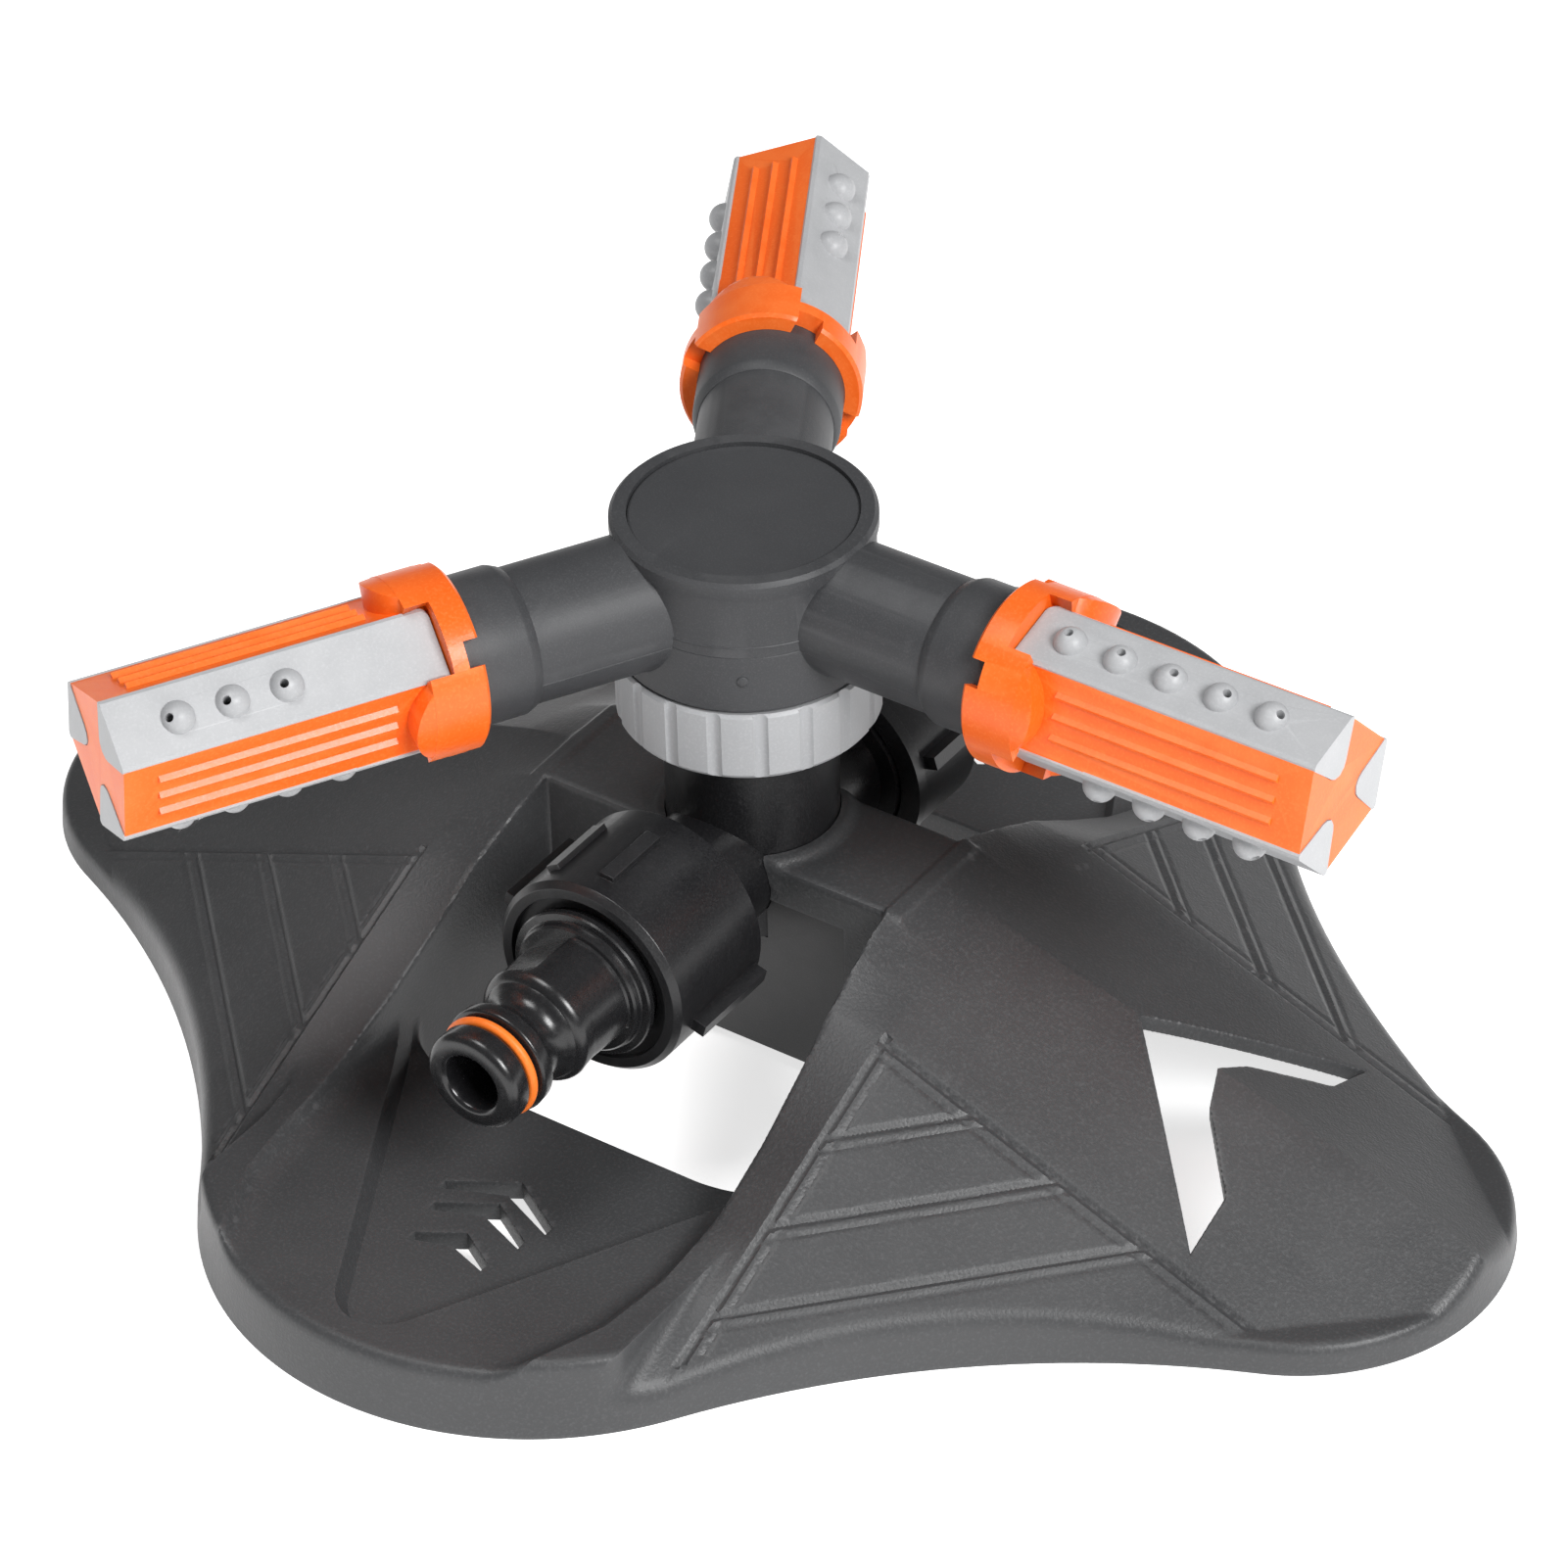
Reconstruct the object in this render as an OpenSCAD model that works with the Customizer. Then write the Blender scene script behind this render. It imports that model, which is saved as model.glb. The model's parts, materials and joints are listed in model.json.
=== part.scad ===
// Three-arm rotary lawn sprinkler on a wide moulded stand.
// Origin: underside centre of the stand on the rotor axis, +Z up, hose inlet towards -Y.
// Units are millimetres.

/* [Stand] */
// Reach of the two raised lobes along X
lobe_x_reach = 126.6; // [115:0.2:135]
// Reach of the two low lobes along Y
lobe_y_reach = 106; // [98:0.2:115]
// Tip radius of the raised lobes
lobe_x_r = 32.6; // [30:0.1:38]
// Tip radius of the low lobes
lobe_y_r = 51.2; // [46:0.2:60]
// Radius of the hollow side curves between lobes
waist_r = 143; // [110:1:160]
// Height of the saddle bridge
saddle_z = 37.8; // [34:0.2:42]
// Height of the low lobes
lobe_z = 11; // [9:0.5:13]
// Height of the recessed floor in the low lobes
floor_z = 8; // [7:0.5:9]
// Wall thickness of the stand
wall = 2.6; // [2:0.1:3.2]

/* [Water tee] */
// Height of the horizontal pipe axis
pipe_z = 33.7; // [32:0.1:36]
// Outer radius of the horizontal pipe
pipe_r = 10; // [9.5:0.1:11]
// Outer radius of the riser
riser_r = 13; // [12:0.1:14]
// Water bore radius
bore_r = 6.5; // [5:0.1:7]
// Outer radius of the hose threads
thread_r = 13.2; // [13:0.05:13.4]

/* [Rotor] */
// Height of the hub top
hub_top = 91.85; // [88:0.05:96]
// Hub top radius
hub_r = 19.54; // [18:0.02:22]
// Height of the arm axes
arm_z = 81.2; // [79:0.1:84]
// Outer radius of the arm tubes
arm_r = 10.2; // [9.5:0.1:11]
// Height of the joint line between the hub halves
seam_z = 79; // [77:0.1:81]
// Lock ring radius
ring_r = 19.64; // [18:0.02:21]
// Lock ring underside height
ring_z = 57.7; // [56:0.1:59]
// Turn of the rotor at rest
rotor_turn = 0; // [-60:1:60]

/* [Spray heads] */
// Distance from the rotor axis to the outer end of a head
head_end = 100.3; // [96:0.1:106]
// Distance from the rotor axis to the head collar
head_start = 46; // [44:0.1:48]
// Distance from the head axis to a ribbed face
face_d = 10.25; // [9.5:0.05:11]
// Distance from the head axis to a nozzle strip face
strip_d = 11.13; // [10.5:0.01:12]
// Width of a nozzle strip
strip_w = 10.8; // [9.5:0.1:12]
// Head collar radius
collar_r = 13.8; // [13:0.1:15]
// Turn of head a about its arm
head_a_turn = -10; // [-180:1:180]
// Turn of head b about its arm
head_b_turn = -76; // [-180:1:180]
// Turn of head c about its arm
head_c_turn = 72; // [-180:1:180]
// Nozzle spacing
nozzle_pitch = 8.2; // [7.5:0.1:9]

/* [View] */
// Which part to show

/* [Hidden] */
$fn = 48;
eps = 0.01;

grey_dark = [0.22, 0.23, 0.24];
black_c = [0.09, 0.09, 0.1];
grey_light = [0.72, 0.72, 0.74];
orange_c = [1, 0.42, 0.08];
white_c = [0.9, 0.9, 0.88];
steel_c = [0.7, 0.7, 0.72];

lx = lobe_x_reach - lobe_x_r;
ly = lobe_y_reach - lobe_y_r;
// centre of the hollow side curve, tangent to both lobe circles
ra = waist_r + lobe_x_r;
rb = waist_r + lobe_y_r;
cc = norm([lx, ly]);
ca = (ra * ra - rb * rb + cc * cc) / (2 * cc);
ch = sqrt(ra * ra - ca * ca);
ux = -lx / cc;
uy = ly / cc;
wx = lx + ux * ca + uy * ch;
wy = uy * ca - ux * ch;
// tangent points
tax = lx + (wx - lx) * lobe_x_r / ra;
tay = wy * lobe_x_r / ra;
tbx = wx * lobe_y_r / rb;
tby = ly + (wy - ly) * lobe_y_r / rb;

// stations along Y of the moulded surface, and the valley edge there
st_y = [0, 10.3, 18, 27, 36, 46, 58, 72, 84, 97, 114];
st_x = [30.5, 30.5, 31, 31.7, 32.3, 32.8, 33.3, 33.5, 32, 27, 20];
st_z = [37.8, 37.8, 35, 31, 25.5, 19.9, 15, 12, 11, 11, 11];
st_c = [41, 56, 71, 86, 101, 116, 134];
n_y = len(st_y);
n_c = len(st_c) + 1;

function ridge_z(x) = saddle_z - 0.30 * max(0, x - 33.5);
function panel_z(x, y) = 31 - 0.40 * (x - 40.3) - 0.44 * (y - 27);
function roof_z(x, y) = ridge_z(x) + (panel_z(x, 27) - ridge_z(x)) * y / 27;
function wing_z(x, y) = max(5.2, y <= 27 ? roof_z(x, y) : panel_z(x, y));
function row_y(j) = j < n_y - 1 ? -st_y[n_y - 1 - j] : st_y[j - n_y + 1];
function row_k(j) = j < n_y - 1 ? n_y - 1 - j : j - n_y + 1;
function vert(j, i, d, dz) =
  i == 0
  ? [st_x[row_k(j)] + d, row_y(j), st_z[row_k(j)] - dz]
  : [st_c[i - 1], row_y(j), wing_z(st_c[i - 1], abs(row_y(j))) - dz];

// angles at which the lobe arcs and the hollow arc meet
ang_x = atan2(wy, wx - lx);
ang_y = atan2(wy - ly, wx);
ang_w0 = atan2(-wy, lx - wx);
ang_w1 = atan2(ly - wy, -wx);

function quarter(d) = concat(
  [for (i = [0 : 9]) [lx + (lobe_x_r - d) * cos(ang_x * i / 10), (lobe_x_r - d) * sin(ang_x * i / 10)]],
  [for (i = [0 : 8]) let (t = ang_w0 + (ang_w1 - ang_w0) * i / 8)
    [wx + (waist_r + d) * cos(t), wy + (waist_r + d) * sin(t)]],
  [for (i = [1 : 8]) let (t = ang_y + (90 - ang_y) * i / 8)
    [(lobe_y_r - d) * cos(t), ly + (lobe_y_r - d) * sin(t)]]
);

module stand_outline(d) {
  q = quarter(d);
  n = len(q);
  polygon(concat(
    q,
    [for (i = [n - 2 : -1 : 0]) [-q[i][0], q[i][1]]],
    [for (i = [1 : n - 1]) [-q[i][0], -q[i][1]]],
    [for (i = [n - 2 : -1 : 1]) [q[i][0], -q[i][1]]]
  ));
}

module lobe_plate(d, zb, z1) {
  k0 = 5;
  translate([0, 0, zb]) linear_extrude(height = z1 - zb) polygon(concat(
    [[st_x[k0] + 0.6, st_y[k0] + d]],
    [for (k = [k0 + 1 : n_y - 1]) [st_x[k] + 0.6, st_y[k]]],
    [for (k = [n_y - 1 : -1 : k0 + 1]) [-st_x[k] - 0.6, st_y[k]]],
    [[-st_x[k0] - 0.6, st_y[k0] + d]]
  ));
}

module wing(d, dz, zb) {
  rows = 2 * n_y - 1;
  top = [for (j = [0 : rows - 1]) for (i = [0 : n_c - 1]) vert(j, i, d, dz)];
  low = [
    for (j = [0 : rows - 1]) [st_x[row_k(j)] + d, row_y(j), zb],
    for (j = [rows - 1 : -1 : 0]) [st_c[n_c - 2], row_y(j), zb]
  ];
  nt = rows * n_c;
  nl = 2 * rows;
  polyhedron(
    points = concat(top, low),
    faces = concat(
      [for (j = [0 : rows - 2]) for (i = [0 : n_c - 2])
        [j * n_c + i, (j + 1) * n_c + i, (j + 1) * n_c + i + 1]],
      [for (j = [0 : rows - 2]) for (i = [0 : n_c - 2])
        [j * n_c + i, (j + 1) * n_c + i + 1, j * n_c + i + 1]],
      [for (j = [0 : rows - 2])
        [j * n_c, nt + j, nt + j + 1, (j + 1) * n_c]],
      [for (j = [0 : rows - 2])
        [(j + 1) * n_c + n_c - 1, nt + nl - 2 - j, nt + nl - 1 - j, j * n_c + n_c - 1]],
      [concat([for (i = [0 : n_c - 1]) i], [nt + nl - 1, nt])],
      [concat([(rows - 1) * n_c, nt + rows - 1, nt + rows],
        [for (i = [n_c - 1 : -1 : 1]) (rows - 1) * n_c + i])],
      [for (j = [0 : rows - 2]) [nt + j, nt + nl - 1 - j, nt + nl - 2 - j, nt + j + 1]]
    )
  );
}

module box_c(x, y, z0, z1) {
  translate([-x, -y, z0]) cube([2 * x, 2 * y, z1 - z0]);
}

module stand_solid(d, dz, zb, plate) {
  intersection() {
    translate([0, 0, zb]) linear_extrude(height = 60) stand_outline(d);
    union() {
      wing(d, dz, zb);
      mirror([1, 0, 0]) wing(d, dz, zb);
      for (s = [-1, 1]) {
        scale([1, s, 1]) lobe_plate(d, zb, plate);
      }
      if (d == 0) box_c(32, 10.3, zb, saddle_z);
      if (d > 0) box_c(36, 10.3 - d, zb, saddle_z - dz);
    }
  }
}

module chevron(y, a) {
  polygon([[-a, y + 5.2], [-a + 1.5, y + 6.6], [0, y + 3.2], [a - 1.5, y + 6.6], [a, y + 5.2], [0, y - 1.2]]);
}

module window() {
  polygon([
    [67.8, 0], [90, 22.6], [91.6, 21.4], [91.4, 14.6], [83, 5.4],
    [81, 0], [83, -5.4], [91.4, -14.6], [91.6, -21.4], [90, -22.6]
  ]);
}

module base_shell() {
  color(grey_dark) difference() {
    stand_solid(0, 0, 0, lobe_z);
    stand_solid(wall, wall * 1.08, -1, floor_z - wall);
    // recessed floor with three arrow slots in each low lobe
    for (s = [-1, 1]) scale([1, s, 1]) {
      translate([0, 0, floor_z]) linear_extrude(height = 10) union() {
        polygon([[-31, 45], [31, 45], [5.2, 96], [-5.2, 96]]);
        translate([0, 93]) circle(r = 6);
      }
      translate([0, 0, -1]) linear_extrude(height = 20) {
        chevron(61.6, 9.6);
        chevron(68, 8.2);
        chevron(75, 6.6);
      }
      // cradle cut in the saddle wall, filled by the clamp
      translate([-23, 5, -1]) cube([46, 6, 32.5]);
      translate([0, 4, pipe_z]) rotate([-90, 0, 0]) cylinder(r = pipe_r + 0.15, h = 8);
      translate([-pipe_r - 0.15, 4, 20]) cube([2 * pipe_r + 0.3, 8, pipe_z - 20]);
    }
    // arrow windows in the raised lobes
    for (s = [0, 180]) rotate([0, 0, s]) translate([0, 0, -1])
      linear_extrude(height = 60) window();
    // riser hole
    translate([0, 0, 20]) cylinder(r = riser_r + 0.15, h = 30);
  }
  color(grey_dark) for (s = [-1, 1]) {
    translate([s * 19, 0, 20]) difference() {
      cylinder(r = 3.6, h = 16.5);
      translate([0, 0, -1]) cylinder(r = 1.6, h = 14);
    }
  }
}

module tee_body() {
  color(black_c) difference() {
    union() {
      translate([0, -34, pipe_z]) rotate([-90, 0, 0]) cylinder(r = pipe_r, h = 68);
      for (s = [0, 180]) rotate([0, 0, s]) {
        translate([0, -34, pipe_z]) rotate([-90, 0, 0]) cylinder(r = thread_r - 0.9, h = 14);
        for (k = [0 : 5]) {
          translate([0, -32.6 + k * 1.814, pipe_z]) rotate([-90, 0, 0])
            cylinder(r = thread_r, h = 0.9);
        }
        translate([0, -20.6, pipe_z]) rotate([-90, 0, 0]) cylinder(r = thread_r - 0.4, h = 1.6);
      }
      translate([0, 0, pipe_z]) cylinder(r = riser_r, h = 60.6 - pipe_z);
      translate([0, 0, pipe_z - 10]) cylinder(r = riser_r, h = 10 + eps);
      translate([0, 0, 60.6]) cylinder(r = 15.4, h = 2);
      translate([0, 0, 62.6]) cylinder(r = 9.9, h = 14);
    }
    translate([0, -40, pipe_z]) rotate([-90, 0, 0]) cylinder(r = bore_r + 2.5, h = 26);
    translate([0, 40, pipe_z]) rotate([90, 0, 0]) cylinder(r = bore_r + 2.5, h = 26);
    translate([0, -20, pipe_z]) rotate([-90, 0, 0]) cylinder(r = bore_r, h = 40);
    translate([0, 0, pipe_z]) cylinder(r = bore_r, h = 50);
  }
}

module tee_clamp() {
  color(black_c) difference() {
    translate([-22.8, -9.7, 2.4]) cube([45.6, 19.4, 28.8]);
    translate([0, -15, pipe_z]) rotate([-90, 0, 0]) cylinder(r = pipe_r + 0.15, h = 30);
    translate([0, 0, pipe_z - 10.2]) cylinder(r = riser_r + 0.15, h = 20);
    for (s = [-1, 1]) {
      translate([s * 19, 0, 19.8]) cylinder(r = 3.8, h = 20);
      translate([s * 19, 0, 12]) cylinder(r = 1.9, h = 20);
      translate([s * 19, 0, 0]) cylinder(r = 3.6, h = 12.01);
      translate([s * 7.2 - 5.2, -7, 0]) cube([10.4, 14, 19]);
    }
  }
}

module tee_screws() {
  color(steel_c) for (s = [-1, 1]) translate([s * 19, 0, 0]) difference() {
    union() {
      translate([0, 0, 9.6]) cylinder(r = 3.2, h = 2.4);
      translate([0, 0, 12]) cylinder(r = 1.6, h = 19);
    }
    translate([-2.2, -0.4, 9]) cube([4.4, 0.8, 1.8]);
    translate([-0.4, -2.2, 9]) cube([0.8, 4.4, 1.8]);
  }
}

module ring_z(z0, r0, r1, h) {
  translate([0, 0, z0]) difference() {
    cylinder(r = r1, h = h);
    translate([0, 0, -1]) cylinder(r = r0, h = h + 2);
  }
}

module washer_low() {
  color(white_c) ring_z(60.0, 13, 15.2, 0.6);
}

module washer_up() {
  color(white_c) ring_z(62.6, 9.9, 15.2, 0.6);
}

module lock_ring() {
  color(grey_light) difference() {
    union() {
      translate([0, 0, ring_z]) cylinder(r1 = ring_r - 0.5, r2 = ring_r, h = 0.7);
      translate([0, 0, ring_z + 0.7]) cylinder(r = ring_r, h = 10.1);
      translate([0, 0, ring_z + 10.8]) cylinder(r1 = ring_r, r2 = ring_r - 0.5, h = 0.5);
    }
    translate([0, 0, ring_z - 1]) cylinder(r = 13.4, h = 20);
    translate([0, 0, ring_z + 2]) cylinder(r = 16.3, h = 20);
    for (k = [0 : 17]) rotate([0, 0, 10 + 20 * k]) {
      translate([ring_r + 0.85, 0, ring_z - 1]) cylinder(r = 1.4, h = 14);
    }
  }
}

module arms_at() {
  for (a = [-120, 0, 120]) rotate([0, 0, rotor_turn + a]) translate([0, 0, arm_z])
    rotate([0, 90, 0]) children();
}

module hub_outer() {
  rotate_extrude($fn = 72) polygon([
    [0, 63.6], [16.2, 63.6], [16.2, 69.3], [hub_r - 0.6, 69.3], [hub_r - 0.2, 69.7],
    [hub_r - 0.2, 72.4], [hub_r - 0.4, seam_z], [hub_r - 0.4, 88.4], [hub_r, 89.4],
    [hub_r, hub_top - 0.6], [hub_r - 0.6, hub_top],
    [0, hub_top]
  ]);
}

module hub_cavity() {
  rotate_extrude() polygon([
    [0, 60], [11.6, 60], [11.6, 74.4], [12.8, 74.4], [12.8, 77.2], [12, 77.2],
    [16, 79.6], [16, 86.6], [14, 88.4], [0, 88.4]
  ]);
  arms_at() cylinder(r = 7.6, h = 60);
}

module hub_whole() {
  difference() {
    union() {
      hub_outer();
      arms_at() translate([0, 0, 4]) cylinder(r = arm_r, h = 36);
    }
    hub_cavity();
    translate([0, 0, hub_top - 0.9]) cylinder(r = 16.94, h = 2);
    arms_at() translate([0, 0, 30]) cylinder(r = 8.6, h = 20);
  }
}

module hub_lower() {
  color(grey_dark) intersection() {
    hub_whole();
    translate([-60, -60, 60]) cube([120, 120, seam_z - 60]);
  }
}

module hub_upper() {
  color(grey_dark) intersection() {
    hub_whole();
    translate([-60, -60, seam_z]) cube([120, 120, 40]);
  }
}

module hub_disc() {
  color(grey_dark) translate([0, 0, hub_top - 0.9]) union() {
    cylinder(r = 16.8, h = 0.25);
    translate([0, 0, 0.24]) cylinder(r1 = 16.8, r2 = 16.5, h = 0.2);
  }
}

module hub_bush() {
  color(white_c) ring_z(64.2, 9.95, 11.6, 9.8);
}

module hub_seal() {
  color(black_c) difference() {
    translate([0, 0, 74.5]) cylinder(r = 12.7, h = 2.4);
    translate([0, 0, 73]) cylinder(r = 9.97, h = 6);
    translate([0, 0, 75.7]) difference() {
      cylinder(r = 12, h = 3);
      translate([0, 0, -1]) cylinder(r = 10.7, h = 5);
    }
  }
}

module on_arm(a) {
  rotate([0, 0, rotor_turn + a]) translate([0, 0, arm_z]) children();
}

module arm_socket(a) {
  color(black_c) on_arm(a) rotate([0, 90, 0]) difference() {
    union() {
      translate([0, 0, 31]) cylinder(r = 8.6, h = 10);
      translate([0, 0, 40]) cylinder(r1 = 10.6, r2 = 11.1, h = 0.5);
      translate([0, 0, 40.5]) cylinder(r = 11.1, h = 8.8);
      translate([0, 0, 49.3]) cylinder(r = 5.4, h = 8.3);
    }
    translate([0, 0, 30]) cylinder(r = 6.4, h = 14);
    translate([0, 0, 43]) cylinder(r = 3.2, h = 20);
    translate([0, 0, 51]) difference() {
      cylinder(r = 7, h = 1.9);
      translate([0, 0, -1]) cylinder(r = 4.4, h = 5);
    }
    translate([0, 0, 55.2]) difference() {
      cylinder(r = 7, h = 1.3);
      translate([0, 0, -1]) cylinder(r = 4.5, h = 5);
    }
  }
}

module arm_o_ring(a) {
  color(black_c) on_arm(a) rotate([0, 90, 0]) translate([0, 0, 51.95])
    rotate_extrude() translate([5.0, 0]) circle(r = 0.6, $fn = 16);
}

module face_prism(r, s0, s1) {
  translate([0, 0, s0]) linear_extrude(height = s1 - s0) polygon([
    for (k = [0 : 2]) for (e = [-1, 1])
      [cos(120 * k) * face_d - e * sin(120 * k) * r, sin(120 * k) * face_d + e * cos(120 * k) * r]
  ]);
}

module strip_section(g) {
  polygon([
    [3.9 - g, 0], [4.3 - g, -1.2 - g * 0.6], [5 - g * 0.5, -1.9 - g], [10.3, -strip_w / 2 - g],
    [10.75, -strip_w / 2 - g], [strip_d + g, -strip_w / 2 + 0.55 - g],
    [strip_d + g, strip_w / 2 - 0.55 + g], [10.75, strip_w / 2 + g], [10.3, strip_w / 2 + g],
    [5 - g * 0.5, 1.9 + g], [4.3 - g, 1.2 + g * 0.6]
  ]);
}

module strip_blank(s0, s1, g) {
  translate([0, 0, s0]) linear_extrude(height = s1 - s0) strip_section(g);
}

module strip_pocket() {
  difference() {
    union() {
      strip_blank(50.8, head_end + 1, 0.1);
      translate([10.6, -strip_w / 2 - 0.1, 50.8]) cube([6, strip_w + 0.2, 60]);
    }
    translate([0, 0, 50]) cylinder(r = 7.5, h = 8.5);
  }
}

module head_body(a, turn) {
  color(orange_c) on_arm(a) rotate([0, 90, 0]) rotate([0, 0, 90 + turn]) difference() {
    union() {
      intersection() {
        face_prism(6.93, 52, head_end);
        translate([0, 0, 50]) cylinder(r = 12.6, h = 60);
      }
      translate([0, 0, head_start + 0.5]) cylinder(r = collar_r, h = 8);
      translate([0, 0, head_start]) cylinder(r1 = collar_r - 0.5, r2 = collar_r, h = 0.5);
      for (k = [0 : 2]) rotate([0, 0, 120 * k]) {
        intersection() {
          translate([0, 0, 54]) cylinder(r1 = collar_r, r2 = collar_r - 0.3, h = 3.6);
          translate([7, 0, 49]) rotate([0, 90, 0]) cylinder(r = 8.4, h = 8);
        }
        for (m = [-1 : 1]) translate([face_d - 0.3, m * 3.2, 59])
          linear_extrude(height = 36) polygon([[0, -0.9], [1.0, 0], [0, 0.9]]);
      }
    }
    for (k = [0 : 2]) rotate([0, 0, 60 + 120 * k]) strip_pocket();
    translate([0, 0, head_start - 1]) cylinder(r = 11.17, h = 4.6);
    translate([0, 0, head_start + 3.5]) cylinder(r = 5.7, h = 12);
    translate([0, 0, 54.9]) cylinder(r = 6.7, h = 1.9);
    translate([0, 0, 56]) cylinder(r = 2.4, h = 40);
    for (k = [0 : 3]) rotate([0, 0, 45 + 90 * k]) translate([10, -2, head_start - 1])
      cube([6, 4, 3.4]);
    for (k = [0 : 4]) translate([0, 0, head_end - 10 - k * nozzle_pitch]) for (m = [0 : 2])
      rotate([0, 0, 60 + 120 * m]) rotate([0, 90, 0]) cylinder(r = 0.55, h = 6, $fn = 14);
  }
}

module head_strip(a, turn, slot, count) {
  color(grey_light) on_arm(a) rotate([0, 90, 0]) rotate([0, 0, 90 + turn])
    rotate([0, 0, slot]) difference() {
      union() {
        difference() {
          strip_blank(51, head_end, 0);
          translate([0, 0, 50]) cylinder(r = 7.6, h = 8.6);
        }
        for (k = [0 : count - 1]) translate([strip_d - 0.3, 0, head_end - 10 - k * nozzle_pitch])
          rotate([0, 0, 180]) sphere(r = 2.5, $fn = 24);
      }
      for (k = [0 : count - 1]) translate([2, 0, head_end - 10 - k * nozzle_pitch])
        rotate([0, 90, 0]) cylinder(r = 0.55, h = 7.2, $fn = 14);
      for (k = [0 : count - 1]) translate([9, 0, head_end - 10 - k * nozzle_pitch])
        rotate([0, 90 - 24 * (4 - k) / 4, 0]) cylinder(r = 0.65, h = 8, $fn = 14);
    }
}

module head_clip(a, turn) {
  color(steel_c) on_arm(a) rotate([0, 90, 0]) rotate([0, 0, 90 + turn]) translate([0, 0, 55.4])
    difference() {
      cylinder(r = 6.6, h = 0.9);
      translate([0, 0, -1]) cylinder(r = 4.58, h = 4);
      translate([0, -1, -1]) cube([9, 2, 4]);
    }
}

module along_y(y) {
  translate([0, y, pipe_z]) rotate([90, 0, 0]) children();
}

module nipple() {
  color(black_c) along_y(0) difference() {
    rotate_extrude() polygon([
      [0, 34.92], [12.6, 34.92], [12.6, 36.1], [12.2, 36.4], [11, 36.5], [11, 42.6], [12.1, 42.6],
      [12.1, 43.8], [10.6, 44.2], [9.6, 45], [9.4, 49.6], [9, 51.4], [7.6, 54.6], [6.9, 57.4],
      [6.8, 60], [7.2, 61.8], [8.5, 62.4], [8.6, 62.8], [8.6, 64.6], [8.2, 64.9], [6.7, 64.9],
      [6.7, 67.2], [7.9, 67.2], [7.9, 68.6], [7.5, 70], [6.5, 71], [0, 71]
    ]);
    translate([0, 0, 30]) cylinder(r = 6.2, h = 24);
    translate([0, 0, 50]) cylinder(r = 4.3, h = 30);
    for (k = [0, 180]) rotate([0, 0, 125 + k]) translate([7.7, -9, 45.4])
      cube([4, 18, 9]);
  }
}

module nipple_o_ring() {
  color(orange_c) along_y(0) translate([0, 0, 66.05]) rotate_extrude()
    translate([7.45, 0]) circle(r = 0.75, $fn = 20);
}

module hose_washer() {
  color(black_c) along_y(0) difference() {
    translate([0, 0, 34.3]) cylinder(r = 12.5, h = 0.6);
    translate([0, 0, 30]) cylinder(r = 6.8, h = 10);
  }
}

module filter_screen() {
  color(steel_c) along_y(0) translate([0, 0, 35.4]) difference() {
    cylinder(r = 6.2, h = 0.6);
    for (i = [-2 : 2]) for (j = [-2 : 2]) {
      if (i * i + j * j < 7) translate([i * 1.9 - 0.6, j * 1.9 - 0.6, -1]) cube([1.2, 1.2, 4]);
    }
  }
}

module nut_shape(z0, z1, r) {
  translate([0, 0, z0]) cylinder(r = r, h = z1 - z0 - 1);
  translate([0, 0, z1 - 1]) cylinder(r1 = r, r2 = r - 0.9, h = 1);
  for (j = [0, 180]) rotate([0, 0, j - 16]) translate([r - 1, -1.1, z0 + 1.2])
    cube([3.2, 2.2, z1 - z0 - 5.3]);
  for (j = [0, 180], k = [0, 35]) rotate([0, 0, 86 + j + k]) translate([r - 1, -1.2, z0 + 5.1])
    cube([1.8, 2.4, z1 - z0 - 9.2]);
}

module inlet_nut() {
  color(black_c) along_y(0) difference() {
    nut_shape(21.4, 42.3, 16.06);
    translate([0, 0, 20]) cylinder(r = thread_r + 0.06, h = 16.9);
    translate([0, 0, 36]) cylinder(r = 11.3, h = 8);
    translate([0, 0, 41]) cylinder(r = 13.6, h = 3);
  }
}

module end_cap() {
  color(black_c) rotate([0, 0, 180]) along_y(0) difference() {
    union() {
      nut_shape(21.4, 36.6, 16.06);
      translate([0, 0, 19.6]) cylinder(r = 16.6, h = 2);
    }
    translate([0, 0, 10]) cylinder(r = thread_r + 0.06, h = 25.2);
  }
}

module cap_washer() {
  color(black_c) rotate([0, 0, 180]) along_y(0) translate([0, 0, 34.3]) cylinder(r = 12.6, h = 0.6);
}

base_shell();
tee_body();
tee_clamp();
tee_screws();
washer_low();
washer_up();
hub_lower();
hub_upper();
hub_disc();
lock_ring();
hub_bush();
hub_seal();
arm_socket(-120);  // arm_a_socket
arm_socket(0);  // arm_b_socket
arm_socket(120);  // arm_c_socket
arm_o_ring(-120);  // arm_a_o_ring
arm_o_ring(0);  // arm_b_o_ring
arm_o_ring(120);  // arm_c_o_ring
head_body(-120, head_a_turn);  // head_a_body
head_strip(-120, head_a_turn, 60, 3);  // head_a_strip_3
head_strip(-120, head_a_turn, 180, 5);  // head_a_strip_5
head_strip(-120, head_a_turn, 300, 4);  // head_a_strip_4
head_clip(-120, head_a_turn);  // head_a_clip
head_body(0, head_b_turn);  // head_b_body
head_strip(0, head_b_turn, 60, 3);  // head_b_strip_3
head_strip(0, head_b_turn, 180, 5);  // head_b_strip_5
head_strip(0, head_b_turn, 300, 4);  // head_b_strip_4
head_clip(0, head_b_turn);  // head_b_clip
head_body(120, head_c_turn);  // head_c_body
head_strip(120, head_c_turn, 60, 3);  // head_c_strip_3
head_strip(120, head_c_turn, 180, 5);  // head_c_strip_5
head_strip(120, head_c_turn, 300, 4);  // head_c_strip_4
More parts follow.
